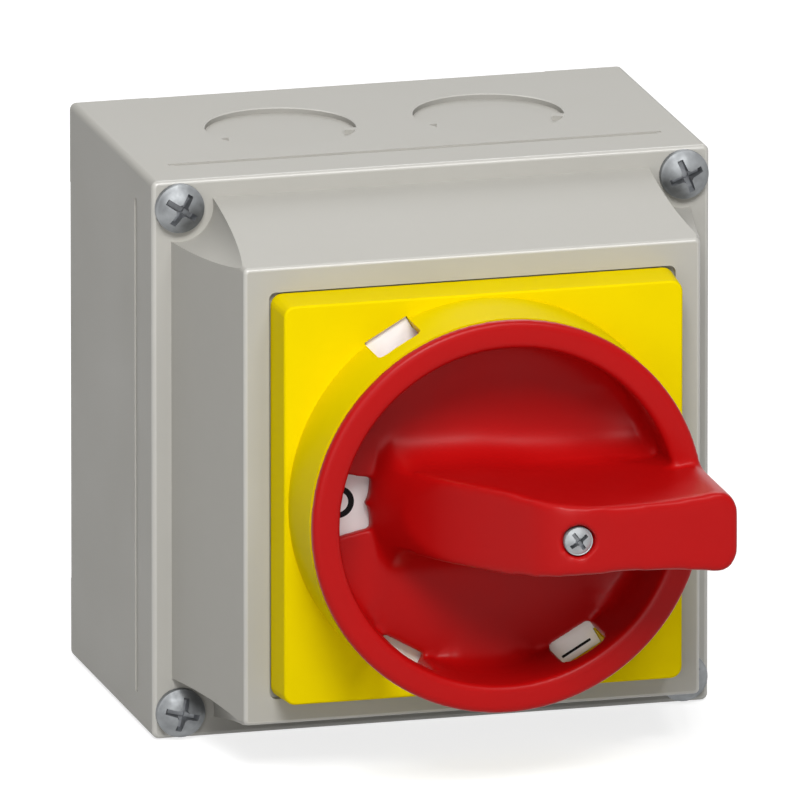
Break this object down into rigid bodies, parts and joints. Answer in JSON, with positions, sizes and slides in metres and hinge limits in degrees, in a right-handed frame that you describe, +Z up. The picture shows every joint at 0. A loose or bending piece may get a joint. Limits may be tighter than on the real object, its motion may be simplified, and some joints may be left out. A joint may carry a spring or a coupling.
{
  "type": "rotary isolator switch",
  "caption": "Enclosed rotary isolator in a square grey wall box, with a yellow front plate and a dished red padlockable lever handle that turns between O and I.",
  "frame": {"origin": "centre of the rear mounting plane, on the handle's axis", "axes": "+Z up, +Y into the wall (the handle faces -Y), +X to the right seen from the front"},
  "size_m": [0.082, 0.1049, 0.082],
  "materials": {
    "grey_plastic": "fine satin light warm grey",
    "yellow_plastic": "satin signal yellow",
    "red_plastic": "satin signal red",
    "white_plastic": "matt white with printed marks",
    "seal_rubber": "matt black",
    "zinc_steel": "zinc plated",
    "black_plastic": "matt black",
    "dark_nylon": "matt dark grey",
    "copper": "bare copper",
    "brass": "bare brass"
  },
  "bodies": {
    "housing": {"base": "grey_plastic", "cover": "grey_plastic", "front_plate": "yellow_plastic", "dial": "white_plastic", "cover_gasket": "seal_rubber", "plate_gasket": "seal_rubber", "hub_seal": "seal_rubber", "cover_screws": "zinc_steel", "plate_screws": "zinc_steel", "detent_spring": "zinc_steel", "tie_bolts": "zinc_steel", "block_screws": "zinc_steel", "terminal_screws_1": "zinc_steel", "terminal_screws_2": "zinc_steel", "terminal_screws_3": "zinc_steel", "rear_plate": "dark_nylon", "index_housing": "dark_nylon", "contact_deck_1": "dark_nylon", "contact_deck_2": "dark_nylon", "contact_deck_3": "dark_nylon", "fixed_contacts_1": "copper", "fixed_contacts_2": "copper", "fixed_contacts_3": "copper", "wire_clamps_1": "brass", "wire_clamps_2": "brass", "wire_clamps_3": "brass", "earth_terminal": "brass", "earth_screw": "brass"},
    "turning_group": {"handle": "red_plastic", "handle_screw": "zinc_steel", "drive_hub": "black_plastic", "hub_clip": "zinc_steel", "shaft": "zinc_steel", "detent_wheel": "black_plastic", "rotor_1": "black_plastic", "rotor_2": "black_plastic", "rotor_3": "black_plastic", "moving_contact_1": "copper", "moving_contact_2": "copper", "moving_contact_3": "copper"}
  },
  "joints": [
    {"name": "handle_turn", "type": "hinge", "parent": "housing", "child": "turning_group", "pos_m": [0, 0, 0], "axis": [0, 1, 0], "range_deg": [0, 90], "deforming": ["detent_spring"]}
  ]
}
